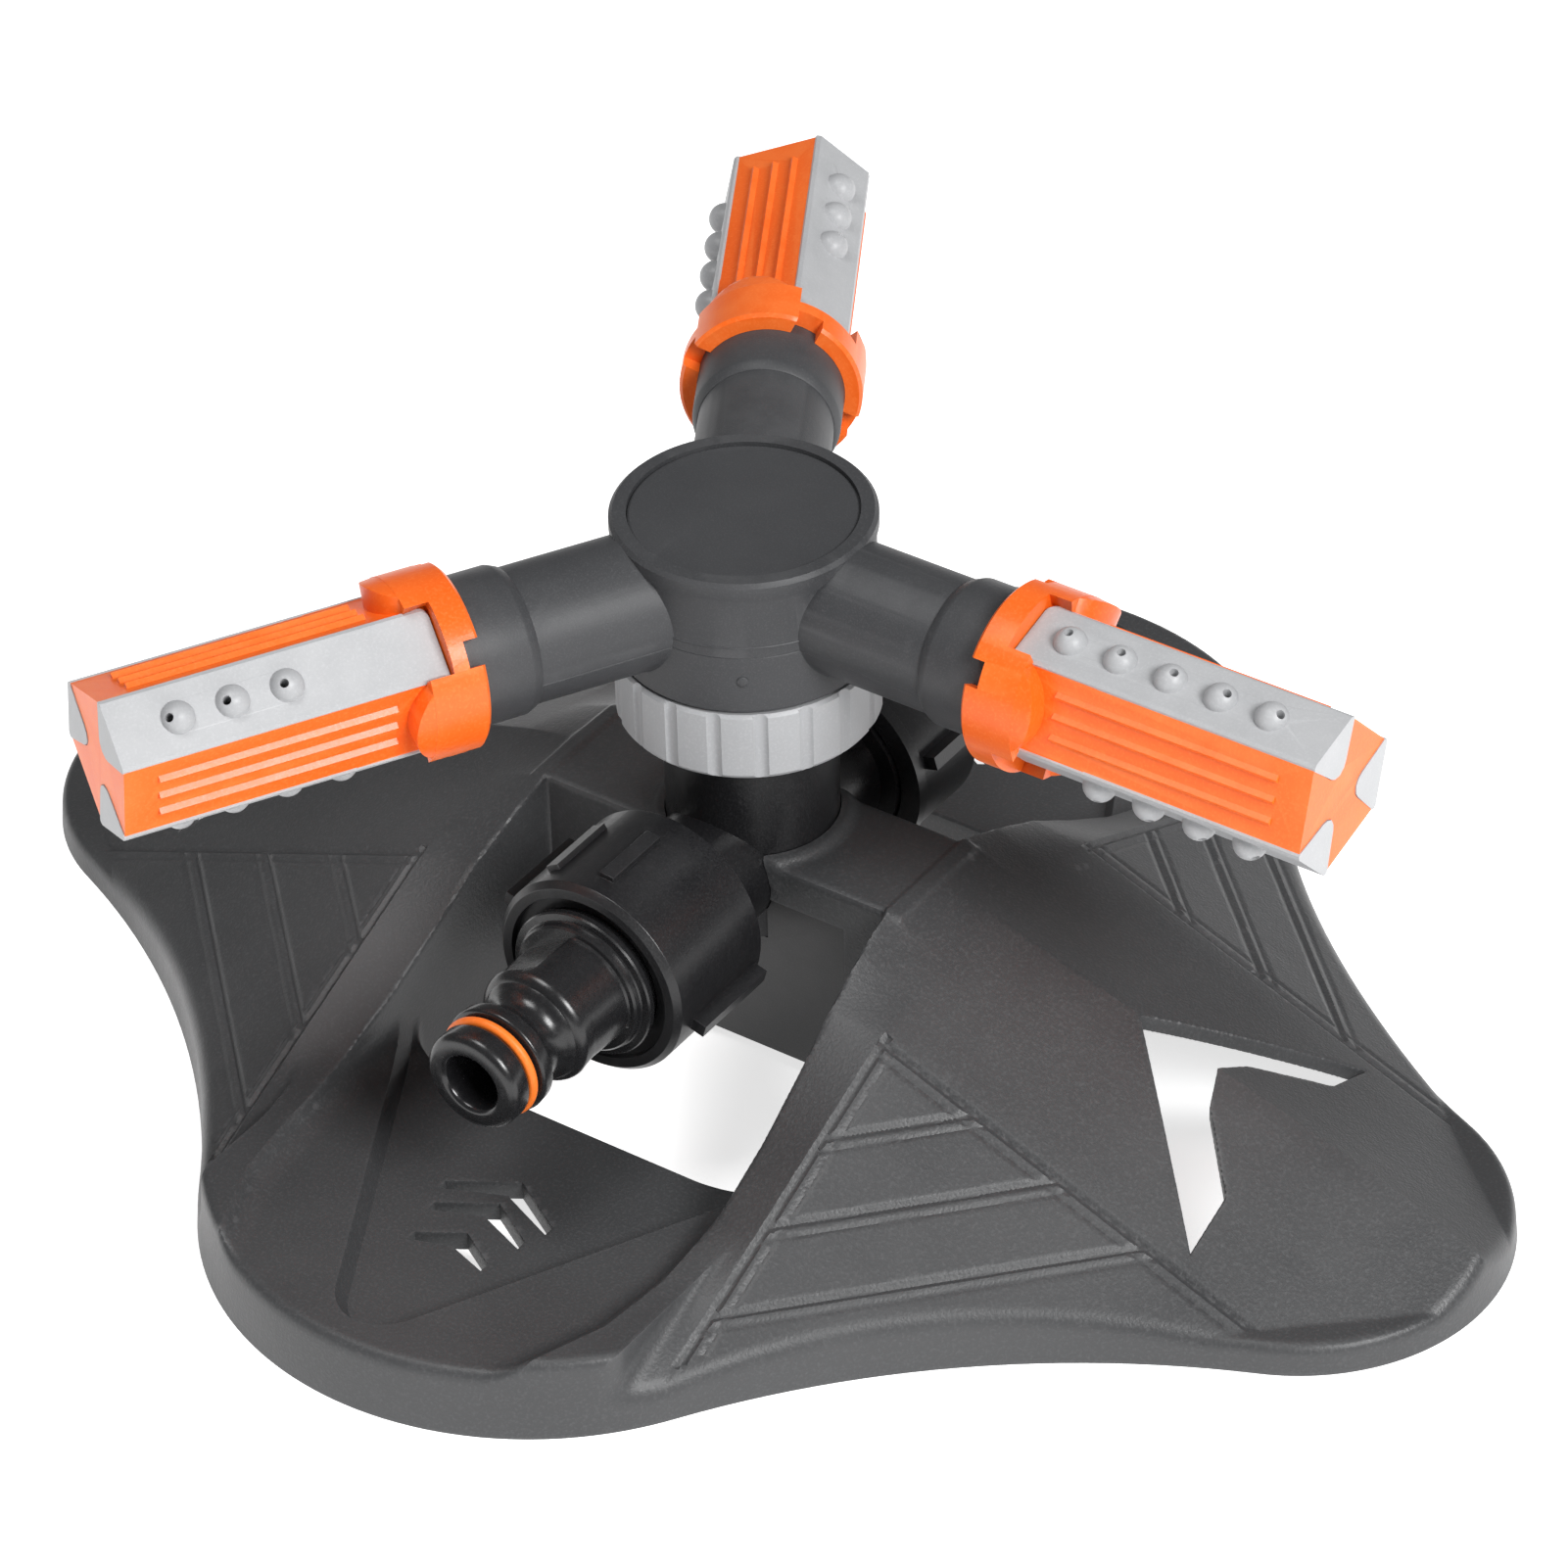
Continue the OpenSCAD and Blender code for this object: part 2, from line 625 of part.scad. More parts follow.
head_clip(120, head_c_turn);  // head_c_clip
nipple();
nipple_o_ring();
hose_washer();
filter_screen();
inlet_nut();
end_cap();
cap_washer();
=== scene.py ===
import json
import math
import bmesh
import bpy
import numpy as np
from mathutils import Matrix, Vector


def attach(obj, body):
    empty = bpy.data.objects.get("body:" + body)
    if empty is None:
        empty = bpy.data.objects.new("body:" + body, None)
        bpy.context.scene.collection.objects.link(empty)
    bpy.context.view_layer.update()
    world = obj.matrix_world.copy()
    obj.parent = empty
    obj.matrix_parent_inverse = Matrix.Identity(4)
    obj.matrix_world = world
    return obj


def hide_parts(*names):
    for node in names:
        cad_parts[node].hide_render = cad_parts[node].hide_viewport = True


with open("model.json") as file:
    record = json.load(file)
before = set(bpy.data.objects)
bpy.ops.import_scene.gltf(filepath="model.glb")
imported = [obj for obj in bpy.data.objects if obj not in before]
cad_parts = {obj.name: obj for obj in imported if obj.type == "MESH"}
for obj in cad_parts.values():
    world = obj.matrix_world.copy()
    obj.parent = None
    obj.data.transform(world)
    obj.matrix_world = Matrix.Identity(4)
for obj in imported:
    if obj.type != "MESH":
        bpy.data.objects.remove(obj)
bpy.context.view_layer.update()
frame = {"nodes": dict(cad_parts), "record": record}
NODES = frame["nodes"]
BODY_OF = {n: b for b, ns in frame["record"]["behaviour"]["bodies"].items() for n in ns}
SLOT_OF = {s["node"]: s["material_slot"] for s in frame["record"]["subparts"]}
MM = 0.001


# ---------------------------------------------------------------- materials
class Graph:
    """A small helper for building node trees."""

    def __init__(self, name):
        self.mat = bpy.data.materials.new(name)
        self.mat.use_nodes = True
        self.nt = self.mat.node_tree
        self.nt.nodes.clear()
        self.out = self.nt.nodes.new("ShaderNodeOutputMaterial")
        self.bsdf = self.nt.nodes.new("ShaderNodeBsdfPrincipled")
        self.link(self.bsdf.outputs[0], self.out.inputs[0])
        self.obj = self.nt.nodes.new("ShaderNodeTexCoord").outputs["Object"]

    def link(self, a, b):
        self.nt.links.new(a, b)

    def noise(self, scale, detail=3.0, rough=0.55, vec=None):
        """Fractal noise over the object's own coordinates, or over vec."""
        n = self.nt.nodes.new("ShaderNodeTexNoise")
        n.inputs["Scale"].default_value = scale
        n.inputs["Detail"].default_value = detail
        n.inputs["Roughness"].default_value = rough
        self.link(vec or self.obj, n.inputs["Vector"])
        return n.outputs[0]

    def stretch(self, sx, sy, sz):
        """The object's coordinates scaled per axis; a small factor draws a pattern out along it."""
        m = self.nt.nodes.new("ShaderNodeMapping")
        m.inputs["Scale"].default_value = (sx, sy, sz)
        self.link(self.obj, m.inputs["Vector"])
        return m.outputs[0]

    def ramp(self, x, a, b, lo=0.0, hi=1.0):
        """x mapped from the span a to b onto lo to hi, and held there beyond it."""
        r = self.nt.nodes.new("ShaderNodeMapRange")
        r.inputs["From Min"].default_value = a
        r.inputs["From Max"].default_value = b
        r.inputs["To Min"].default_value = lo
        r.inputs["To Max"].default_value = hi
        self.link(x, r.inputs["Value"])
        return r.outputs[0]

    def math(self, op, a, b):
        m = self.nt.nodes.new("ShaderNodeMath")
        m.operation = op
        for i, v in enumerate((a, b)):
            if isinstance(v, (int, float)):
                m.inputs[i].default_value = v
            else:
                self.link(v, m.inputs[i])
        return m.outputs[0]

    def mix(self, fac, a, b):
        m = self.nt.nodes.new("ShaderNodeMix")
        m.data_type = "RGBA"
        if isinstance(fac, (int, float)):
            m.inputs[0].default_value = fac
        else:
            self.link(fac, m.inputs[0])
        for i, v in ((6, a), (7, b)):
            if isinstance(v, tuple):
                m.inputs[i].default_value = (*v, 1.0)
            else:
                self.link(v, m.inputs[i])
        return m.outputs[2]

    def bump(self, height, strength, dist, base=None):
        b = self.nt.nodes.new("ShaderNodeBump")
        b.inputs["Strength"].default_value = strength
        b.inputs["Distance"].default_value = dist
        self.link(height, b.inputs["Height"])
        if base is not None:
            self.link(base, b.inputs["Normal"])
        return b.outputs[0]

    def edges(self, lo=0.52, hi=0.6):
        """1 on sharp outer edges, where a part is rubbed, and 0 on flat faces."""
        g = self.nt.nodes.new("ShaderNodeNewGeometry")
        return self.ramp(g.outputs["Pointiness"], lo, hi)


def plastic(name, dark, mid, light, rough, grain, grain_depth, edge, gloss=0.5, scuff=0.25):
    """Moulded plastic: cloudy colour, moulded grain, faint flow marks, scuffs and paler rubbed edges."""
    g = Graph(name)
    cloud = g.noise(38, 4.0)
    fine = g.noise(grain, 2.0, 0.6)
    flow = g.noise(30, 3.0, 0.6, g.stretch(1.0, 5.0, 2.0))
    scratches = g.noise(160, 6.0, 0.75, g.stretch(1.0, 0.16, 0.4))
    worn = g.ramp(scratches, 0.63, 0.72)
    col = g.mix(g.ramp(cloud, 0.35, 0.68), dark, mid)
    col = g.mix(g.ramp(fine, 0.5, 0.75, 0.0, 0.35), col, light)
    col = g.mix(g.math("MULTIPLY", worn, scuff), col, light)
    if edge:
        rub = g.math("MULTIPLY", g.edges(), g.ramp(g.noise(220, 4.0), 0.35, 0.6, 0.35, 1.0))
        col = g.mix(g.math("MULTIPLY", rub, edge), col, light)
    g.link(col, g.bsdf.inputs["Base Color"])
    uneven = g.ramp(fine, 0.3, 0.7, -0.04, 0.04)
    r = g.math("ADD", g.ramp(cloud, 0.3, 0.7, rough - 0.05, rough + 0.05), uneven)
    r = g.math("ADD", r, g.math("MULTIPLY", worn, 0.08))
    g.link(r, g.bsdf.inputs["Roughness"])
    g.bsdf.inputs["Specular IOR Level"].default_value = gloss
    n = g.bump(flow, 0.12, 0.0006)
    n = g.bump(fine, 0.55, grain_depth, n)
    n = g.bump(scratches, 0.08, 0.00008, n)
    g.link(n, g.bsdf.inputs["Normal"])
    return g.mat


def metal(name, base, rough):
    """Brushed metal, with the brush marks along Z."""
    g = Graph(name)
    brush = g.noise(900, 3.0, 0.6, g.stretch(1.0, 1.0, 0.05))
    g.link(g.mix(g.ramp(brush, 0.3, 0.7), base, tuple(c * 0.8 for c in base)), g.bsdf.inputs["Base Color"])
    g.bsdf.inputs["Metallic"].default_value = 1.0
    g.link(g.ramp(brush, 0.3, 0.7, rough - 0.06, rough + 0.1), g.bsdf.inputs["Roughness"])
    g.link(g.bump(brush, 0.2, 0.00005), g.bsdf.inputs["Normal"])
    return g.mat


# each plastic: its dark, middle and pale colour, then roughness, grain scale, grain depth in metres,
# edge wear, gloss and scuffs
PLASTICS = {
    "stand_plastic": ((0.042, 0.043, 0.045), (0.051, 0.052, 0.054), (0.105, 0.106, 0.11),
        0.44, 2000, 0.00011, 0.5, 0.45, 0.22),
    "hub_plastic": ((0.038, 0.039, 0.042), (0.047, 0.048, 0.051), (0.1, 0.101, 0.105),
        0.5, 3600, 0.00005, 0.3, 0.4, 0.15),
    "disc_plastic": ((0.038, 0.039, 0.042), (0.047, 0.048, 0.051), (0.09, 0.09, 0.095),
        0.5, 4200, 0.00005, 0.2, 0.4, 0.1),
    "socket_plastic": ((0.02, 0.02, 0.023), (0.027, 0.027, 0.031), (0.06, 0.06, 0.068),
        0.38, 3200, 0.00003, 0.2, 0.45, 0.1),
    "fitting_plastic": ((0.008, 0.008, 0.009), (0.012, 0.012, 0.013), (0.045, 0.045, 0.047),
        0.33, 3000, 0.00004, 0.35, 0.5, 0.15),
    "nipple_plastic": ((0.008, 0.008, 0.009), (0.012, 0.012, 0.013), (0.02, 0.02, 0.021),
        0.24, 1500, 0.000006, 0.2, 0.55, 0.03),
    "ring_plastic": ((0.33, 0.335, 0.345), (0.37, 0.375, 0.385), (0.48, 0.485, 0.495),
        0.38, 2600, 0.00003, 0.15, 0.45, 0.12),
    "strip_plastic": ((0.36, 0.365, 0.375), (0.4, 0.405, 0.415), (0.52, 0.525, 0.535),
        0.42, 2600, 0.00004, 0.2, 0.42, 0.12),
    "head_plastic": ((0.84, 0.115, 0.006), (0.9, 0.14, 0.01), (0.98, 0.26, 0.06),
        0.36, 2200, 0.00004, 0.3, 0.45, 0.14),
    "orange_rubber": ((0.86, 0.16, 0.015), (0.93, 0.2, 0.02), (1.0, 0.32, 0.08),
        0.42, 3000, 0.00003, 0.1, 0.4, 0.1),
    "black_rubber": ((0.012, 0.012, 0.012), (0.018, 0.018, 0.018), (0.05, 0.05, 0.05),
        0.6, 3000, 0.00005, 0.1, 0.35, 0.1),
    "white_plastic": ((0.75, 0.75, 0.72), (0.82, 0.82, 0.79), (0.9, 0.9, 0.88),
        0.4, 2600, 0.00003, 0.1, 0.45, 0.1),
}
MATS = {slot: plastic(slot, *values) for slot, values in PLASTICS.items()}
MATS["steel"] = metal("steel", (0.58, 0.58, 0.6), 0.3)


def dress(obj, slot_name):
    """Gives an object the material of a slot, and nothing else."""
    obj.data.materials.clear()
    obj.data.materials.append(MATS[slot_name])


# ---------------------------------------------------------------- pieces taken over from the frame
JOINTS = {j["name"]: j for j in frame["record"]["behaviour"]["joints"]}
ARM_Z = JOINTS["head_a_turn"]["pos_m"][2]
ARM_AXIS = {letter: Vector(JOINTS["head_%s_turn" % letter]["axis"]) for letter in "abc"}
COLLAR_END = 54.2 * MM      # along the arm, where a head's ribbed faces begin
FACE_LOW = 9.7 * MM         # the ribbed faces and their ribs lie between these distances from the arm's axis
FACE_HIGH = 11.0 * MM
FACE_HALF = 7.2 * MM        # half the width of a ribbed face, with its corners
FACE_SINK = 0.4 * MM
END_SINK = 0.15 * MM
END_CORNER = 1.2 * MM       # radius of a strip's inner corners
STRIP_FLANK = 3.0 * MM      # a strip's nozzles all lie nearer its middle line than this


def facing(verts, axis):
    """The direction in which a strip faces, on a head along the unit vector axis."""
    middle = sum((v.co for v in verts), Vector()) / len(verts)
    middle.z -= ARM_Z
    return (middle - axis * middle.dot(axis)).normalized()


def sink_ribbed_faces(bm, letter):
    """Sets the three ribbed faces of a head body back a little, so that the strips stand proud of them."""
    axis = ARM_AXIS[letter]
    end = max(v.co.dot(axis) for v in bm.verts)
    for count in (3, 4, 5):
        out = -facing(NODES["head_%s_strip_%d" % (letter, count)].data.vertices, axis)
        wide = axis.cross(out)
        for v in bm.verts:
            p = v.co - Vector((0, 0, ARM_Z))
            on_face = FACE_LOW < p.dot(out) < FACE_HIGH and abs(p.dot(wide)) < FACE_HALF
            if on_face and p.dot(axis) > COLLAR_END:
                v.co -= out * FACE_SINK
    for v in bm.verts:
        if v.co.dot(axis) > end - 0.05 * MM:
            v.co -= axis * END_SINK


def round_strip_end(bm, letter):
    """Rounds the two inner corners of a nozzle strip."""
    radius = END_CORNER
    axis = ARM_AXIS[letter]
    wide = axis.cross(facing(bm.verts, axis))
    start = min(v.co.dot(axis) for v in bm.verts)
    for k in range(1, 7):
        at = start + radius * (1 - math.cos(math.pi * k / 12))
        geom = bm.verts[:] + bm.edges[:] + bm.faces[:]
        bmesh.ops.bisect_plane(bm, geom=geom, dist=1e-7, plane_co=axis * at, plane_no=axis)
    for v in bm.verts:
        ahead = radius - (v.co.dot(axis) - start)
        off = v.co.dot(wide)
        if ahead > 0 and abs(off) > STRIP_FLANK:
            inset = radius - math.sqrt(max(radius * radius - ahead * ahead, 0.0))
            v.co -= wide * math.copysign(inset, off)


def crisp(node, width, angle=28.0, reshape=None):
    """A welded copy of a CAD node with small moulded radii on its edges; it stands for that node.

    reshape(bm, letter) may move the copy's points; letter is that of a head, as in head_a_body.
    """
    mesh = bpy.data.meshes.new("v_" + node)
    bm = bmesh.new()
    bm.from_mesh(NODES[node].data)
    bmesh.ops.remove_doubles(bm, verts=bm.verts, dist=2e-6)
    bmesh.ops.dissolve_limit(bm, angle_limit=math.radians(0.3), verts=bm.verts, edges=bm.edges)
    bmesh.ops.triangulate(bm, faces=[f for f in bm.faces if len(f.verts) > 60])
    if reshape:
        reshape(bm, node[5])
    for f in bm.faces:
        f.smooth = True
    bm.to_mesh(mesh)
    bm.free()
    mesh.set_sharp_from_angle(angle=math.radians(angle))
    obj = bpy.data.objects.new("v_" + node, mesh)
    bpy.context.scene.collection.objects.link(obj)
    b = obj.modifiers.new("edge", "BEVEL")
    b.width = width * MM
    b.segments = 2
    b.limit_method = "ANGLE"
    b.angle_limit = math.radians(angle)
    b.use_clamp_overlap = True
    b.miter_outer = "MITER_ARC"
    even = obj.modifiers.new("even_normals", "WEIGHTED_NORMAL")
    even.keep_sharp = True
    dress(obj, SLOT_OF[node])
    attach(obj, BODY_OF[node])
    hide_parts(node)


# ---------------------------------------------------------------- stand
# Millimetres; x runs along the wings and y along the pipe, and each quarter mirrors the others.
WING_X, WING_R = 94.0, 32.65    # centre and radius of a wing's end
LOBE_Y, LOBE_R = 54.75, 51.25   # centre and radius of a low lobe's end
WAIST_R = 143.0                 # radius of the hollow side between them
SADDLE_Z = 37.8                 # top of the bridge under the pipe
SADDLE_Y = 10.3                 # half its width
WALL = 2.6
RIM = 2.6                       # plain rim round the fine lines
PIPE_AXIS_Z = 33.7
FOLD_X, FOLD_Y = 41.0, 27.0     # where band, roof and panel of a wing meet
FOLD_Z = 30.7                   # height of that corner
SPINE_FALL = 0.30               # slopes of the wing's ridge, of its panel each way, and of its roof
PANEL_FALL_X, PANEL_FALL_Y = 0.40, 0.44
ROOF_FALL = 0.2
PANEL_X, PANEL_Z = 40.3, 31.0   # a point of the panel's upper edge
PLATE_Z = 8.0                   # floor of a low lobe, and how far its rim stands up from it
PLATE_RIM = 3.0
LOW = 5.0                       # the wings' tops never dip below this
SLANT = 0.7071                  # turns x + y into the distance across a 45 degree line

# The foot of a wing's inner band: its place and height for each distance along the pipe.
FOOT_Y = np.array([0, 10.3, 18, 27, 36, 46, 58, 72, 84, 97, 114.0])
FOOT_X = np.array([30.5, 30.5, 31, 31.7, 32.3, 32.8, 33.3, 33.5, 32, 27, 20.0])
FOOT_Z = np.array([37.8, 37.8, 35, 31, 25.5, 19.9, 15, 12, 11, 11, 11.0])


def smax(a, b, k):
    """The larger of a and b, blended over a width k."""
    h = np.maximum(k - np.abs(a - b), 0.0) / k
    return np.maximum(a, b) + h * h * k * 0.25


def smin(a, b, k):
    """The smaller of a and b, blended over a width k."""
    return -smax(-a, -b, k)


def outline_quarter():
    """Points along the quarter outline: two lobe arcs joined by a hollow arc tangent to both."""
    ra, rb = WAIST_R + WING_R, WAIST_R + LOBE_R
    cc = math.hypot(WING_X, LOBE_Y)
    ca = (ra * ra - rb * rb + cc * cc) / (2 * cc)
    ch = math.sqrt(ra * ra - ca * ca)
    ux, uy = -WING_X / cc, LOBE_Y / cc
    wx, wy = WING_X + ux * ca + uy * ch, uy * ca - ux * ch
    ax = math.atan2(wy, wx - WING_X)
    ay = math.atan2(wy - LOBE_Y, wx)
    w0, w1 = math.atan2(-wy, WING_X - wx), math.atan2(LOBE_Y - wy, -wx)
    pts = [(WING_X + WING_R * math.cos(ax * i / 30), WING_R * math.sin(ax * i / 30)) for i in range(31)]
    for i in range(1, 24):
        t = w0 + (w1 - w0) * i / 24
        pts.append((wx + WAIST_R * math.cos(t), wy + WAIST_R * math.sin(t)))
    for i in range(31):
        t = ay + (math.pi / 2 - ay) * i / 30
        pts.append((LOBE_R * math.cos(t), LOBE_Y + LOBE_R * math.sin(t)))
    return np.array(pts)


def outline_distance(x, y):
    """Signed distance to the outline, negative inside."""
    q = outline_quarter()
    th = np.arctan2(q[:, 1], q[:, 0])
    r = np.hypot(q[:, 0], q[:, 1])
    line = np.concatenate([q[1:4][::-1] * [1, -1], q, q[-4:-1][::-1] * [-1, 1]])
    d = np.full(x.shape, 1e9)
    for a, b in zip(line[:-1], line[1:]):
        ab = b - a
        t = np.clip(((x - a[0]) * ab[0] + (y - a[1]) * ab[1]) / (ab @ ab), 0, 1)
        d = np.minimum(d, (x - a[0] - t * ab[0]) ** 2 + (y - a[1] - t * ab[1]) ** 2)
    d = np.sqrt(d)
    inside = np.hypot(x, y) < np.interp(np.arctan2(np.abs(y), np.abs(x)), th, r)
    return np.where(inside, -d, d)


def ridge(dist, half):
    """1 on a line, falling to 0 at the half width, with a flat floor."""
    return np.clip(1.25 - 1.25 * np.abs(dist) / half, 0.0, 1.0)


def stand_top(x, y, out):
    """Height of the raised wing surface, with its band, panel and fine lines."""
    spine = SADDLE_Z - SPINE_FALL * (np.logaddexp(0.0, (x - 35.0) * 0.9) / 0.9)
    fold = PANEL_Z - PANEL_FALL_X * (x - PANEL_X)
    panel = fold - PANEL_FALL_Y * (y - FOLD_Y)
    roof = spine + (fold - spine) * np.minimum(y, FOLD_Y) / FOLD_Y
    roof = np.where(y > FOLD_Y, spine + (fold - spine) - ROOF_FALL * (y - FOLD_Y), roof)
    wing = smin(roof, panel, 0.7)
    xin = np.interp(y, FOOT_Y, FOOT_X)
    zin = np.interp(y, FOOT_Y, FOOT_Z)
    ridge_z = SADDLE_Z - SPINE_FALL * 6.0
    climb = ridge_z + (FOLD_Z - ridge_z) * y / FOLD_Y
    roof_edge = np.where(y > FOLD_Y, FOLD_Z - ROOF_FALL * (y - FOLD_Y), climb)
    band_top = smin(roof_edge, FOLD_Z - PANEL_FALL_Y * (y - FOLD_Y), 0.7)
    band = zin + 0.4 + (band_top - zin - 0.4) * np.clip((x - xin) / (FOLD_X - xin), 0, 1)
    h = np.where(x < FOLD_X, band, wing)
    near = out < -RIM
    panel_on = (x > FOLD_X + 0.4) & (y > FOLD_Y + 0.4) & near
    # the panel's frame, its three slanting double lines and the thin lines inside the frame
    lines = ridge(x - FOLD_X - 0.6, 0.8) * (y > FOLD_Y - 0.8) * near
    lines = np.maximum(lines, ridge(y - FOLD_Y - 0.6, 0.8) * (x > FOLD_X - 0.2) * near)
    for c in (84.9, 99.3, 113.7):
        lines = np.maximum(lines, 0.9 * ridge((x + y - c) * SLANT, 0.75) * panel_on)
        lines = np.maximum(lines, 0.4 * ridge((x + y - c - 2.4) * SLANT, 0.6) * panel_on)
    lines = np.maximum(lines, 0.4 * ridge(x - FOLD_X - 2.5, 0.6) * panel_on)
    lines = np.maximum(lines, 0.4 * ridge(y - FOLD_Y - 2.5, 0.6) * panel_on)
    return np.maximum(h - 0.5 * lines, LOW)


def stand_field(X, Y, Z):
    """Signed field of the stand in millimetres; X and Y are symmetric quarters."""
    X, Y = np.abs(X), np.abs(Y)
    out = outline_distance(X, Y)
    H = stand_top(X, Y, out)
    xin = np.interp(Y, FOOT_Y, FOOT_X)
    wing = smax((Z - H) * 0.92, (xin - X) * 0.98, 0.7)
    # low lobes: a plate with a rounded rim and a recessed, pointed floor
    half = 5.0 + 0.52 * (96.0 - Y)
    rec = smax((X - half) * 0.887, Y - 99.0, 5.0)
    plate_h = PLATE_Z + PLATE_RIM * np.clip(rec / 1.5, 0, 1) + 2.0 * np.clip((X - xin + 5.0) / 5.0, 0, 1) ** 2
    corner = np.maximum(X - 20.0, 0) ** 2 * 0.022
    plate = smax((Z - plate_h) * 0.8, 46.0 - corner - Y, 0.8)
    plate = np.maximum(plate, X - 37.0)
    bridge = smax(smax(Z - SADDLE_Z, Y - SADDLE_Y, 1.2), X - 33.0, 0.5)
    body = smin(smin(wing, plate, 2.0), bridge, 0.8)
    # the drafted outer wall, and the lip that the riser stands in
    body = smax(body, out + 0.09 * np.clip(Z, 0, 11), 1.8)
    lip_r = np.hypot(X, Y)
    lip = smax(smax(lip_r - 14.7, Z - (SADDLE_Z + 1.0), 1.2), (SADDLE_Z - 3.0) - Z, 0.3)
    lip = smax(lip, Y - SADDLE_Y, 1.0)
    body = smin(body, lip, 1.6)
    # hollowed from below, then opened under the bridge, round the pipe and round the riser
    shell = np.maximum(body, -(body + WALL))
    shell = np.maximum(shell, -Z)
    cut = np.maximum(np.maximum(X - 23.0, 5.0 - Y), Z - 31.4)
    cut = np.maximum(cut, Y - 12)
    pipe = np.maximum(np.hypot(X, Z - PIPE_AXIS_Z) - 10.15, 4.0 - Y)
    riser = np.maximum(lip_r - 13.15, 20.0 - Z)
    shell = np.maximum(shell, -np.minimum(np.minimum(cut, pipe), riser))
    # the arrow window of a wing: a wedge with a tongue left standing in it
    window = np.maximum((Y - 1.018 * (X - 67.8)) * 0.7, X - 91.6)
    tongue = np.maximum(81.0 - X, (Y - np.minimum(2.7 * (X - 81), 5.4 + 1.095 * (X - 83))) * 0.68)
    window = smax(window, -tongue, 0.5)
    shell = smax(shell, -window, 0.5)
    # the three chevron slots of a low lobe: where each starts, and how far it reaches to each side
    for start, reach in ((60.4, 9.6), (66.0, 8.1), (73.8, 6.5)):
        outer = start + 3.4 + (0.6 * reach - 2.1) / (reach - 1) * X
        slot = np.maximum((start + 0.6 * X - Y) * 0.86, (Y - outer) * 0.9)
        slot = np.maximum(slot, X - reach)
        shell = smax(shell, -slot, 0.3)
    # screw bosses under the bridge
    ring = np.abs(np.hypot(X - 19, Y) - 2.6) - 1.0
    boss = np.maximum(ring, np.maximum(20.0 - Z, Z - 36.0))
    return np.minimum(shell, boss)


def crease_mesh(field, x, y, z):
    """Dual mesh of the zero surface: each cell's point sits where the tangent planes of its edges meet."""
    F = field(x[:, None, None], y[None, :, None], z[None, None, :])
    s = F < 0
    nx, ny, nz = F.shape
    tot = np.zeros((nx - 1, ny - 1, nz - 1), np.int8)
    for i in (0, 1):
        for j in (0, 1):
            for k in (0, 1):
                tot += s[i:nx - 1 + i, j:ny - 1 + j, k:nz - 1 + k]
    cells = np.nonzero((tot > 0) & (tot < 8))
    n = len(cells[0])
    idx = np.full(tot.shape, -1, np.int64)
    idx[cells] = np.arange(n)
    axes = (x, y, z)
    A = np.zeros((n, 3, 3))
    B = np.zeros((n, 3))
    acc = np.zeros((n, 3))
    cnt = np.zeros(n)
    quads = []
    for ax in range(3):
        o = [a for a in range(3) if a != ax]
        lo = [slice(None)] * 3
        hi = [slice(None)] * 3
        lo[ax], hi[ax] = slice(0, -1), slice(1, None)
        g = np.nonzero(s[tuple(lo)] != s[tuple(hi)])
        h = [q.copy() for q in g]
        h[ax] += 1
        fa, fb = F[g], F[tuple(h)]
        a = np.stack([axes[d][g[d]] for d in range(3)], 1)
        b = a.copy()
        b[:, ax] = axes[ax][h[ax]]
        t0, t1 = np.zeros(len(a)), np.ones(len(a))
        sa = fa < 0
        for _ in range(5):
            tm = (t0 + t1) / 2
            p = a + (b - a) * tm[:, None]
            same = (field(p[:, 0], p[:, 1], p[:, 2]) < 0) == sa
            t0, t1 = np.where(same, tm, t0), np.where(same, t1, tm)
        p = a + (b - a) * ((t0 + t1) / 2)[:, None]
        near = 0.03 * np.eye(3)
        nrm = np.stack([field(*(p + near[d]).T) - field(*(p - near[d]).T) for d in range(3)], 1)
        nrm /= np.linalg.norm(nrm, axis=1)[:, None] + 1e-12
        for u in (0, -1):
            for v in (0, -1):
                c = [q.copy() for q in g]
                c[o[0]] += u
                c[o[1]] += v
                ok = np.ones(len(a), bool)
                for d in range(3):
                    ok &= (c[d] >= 0) & (c[d] < tot.shape[d])
                i = idx[tuple(q[ok] for q in c)]
                nn, pp = nrm[ok], p[ok]
                np.add.at(A, i, nn[:, :, None] * nn[:, None, :])
                np.add.at(B, i, nn * (nn * pp).sum(1)[:, None])
                np.add.at(acc, i, pp)
                np.add.at(cnt, i, 1)
        ok = (g[o[0]] > 0) & (g[o[1]] > 0) & (g[o[0]] < tot.shape[o[0]]) & (g[o[1]] < tot.shape[o[1]])
        g = [q[ok] for q in g]

        def cell(u, v):
            c = [q.copy() for q in g]
            c[o[0]] += u
            c[o[1]] += v
            return idx[tuple(c)]

        q = np.stack([cell(-1, -1), cell(0, -1), cell(0, 0), cell(-1, 0)], 1)
        flip = sa[ok] if ax != 1 else ~sa[ok]
        q[~flip] = q[~flip][:, ::-1]
        quads.append(q)
    mean = acc / cnt[:, None]
    lam = 0.05
    v = np.linalg.solve(A + lam * np.eye(3), (B + lam * mean)[:, :, None])[:, :, 0]
    for d in range(3):
        c0 = axes[d][cells[d]]
        v[:, d] = np.clip(v[:, d], c0 - 0.1, axes[d][cells[d] + 1] + 0.1)
    return v, np.concatenate(quads)


